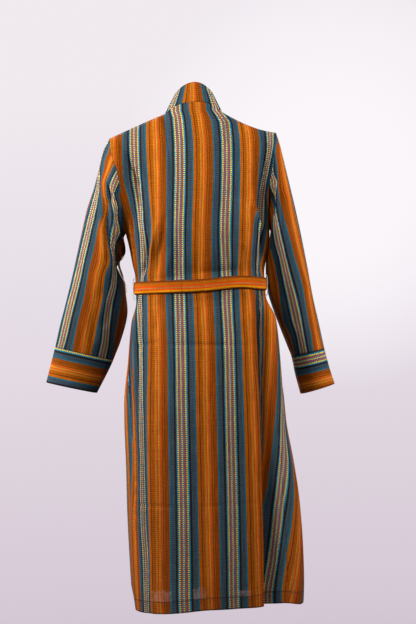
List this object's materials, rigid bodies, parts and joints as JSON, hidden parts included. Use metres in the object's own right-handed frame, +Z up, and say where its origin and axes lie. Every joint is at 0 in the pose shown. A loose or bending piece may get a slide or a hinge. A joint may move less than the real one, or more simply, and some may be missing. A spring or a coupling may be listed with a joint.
{
  "type": "cotton kimono robe, worn and tied",
  "caption": "Long striped cotton robe of kimono cut, worn hollow: stand neckband, straight sleeves with deep cuffs, fronts lapped left over right and a tied belt.",
  "frame": {"origin": "midway between the two neck-shoulder points, where the wearer's shoulders hold the robe up", "axes": "+Z up, -Y towards the front of the robe, +X towards the wearer's left"},
  "size_m": [0.718, 0.2922, 1.277],
  "materials": {
    "striped_cotton": "matt woven stripes",
    "belt_cotton": "matt woven stripes",
    "pale_thread": "matt thread"
  },
  "bodies": {
    "root": {"back": "striped_cotton", "front_left": "striped_cotton", "front_right": "striped_cotton", "neckband_back": "striped_cotton", "neckband_left": "striped_cotton", "neckband_right": "striped_cotton", "sleeve_left": "striped_cotton", "sleeve_right": "striped_cotton", "cuff_left": "striped_cotton", "cuff_right": "striped_cotton", "belt": "belt_cotton", "belt_knot": "belt_cotton", "belt_end_left": "belt_cotton", "belt_end_right": "belt_cotton", "belt_loop_left": "pale_thread", "belt_loop_right": "pale_thread"}
  },
  "joints": []
}
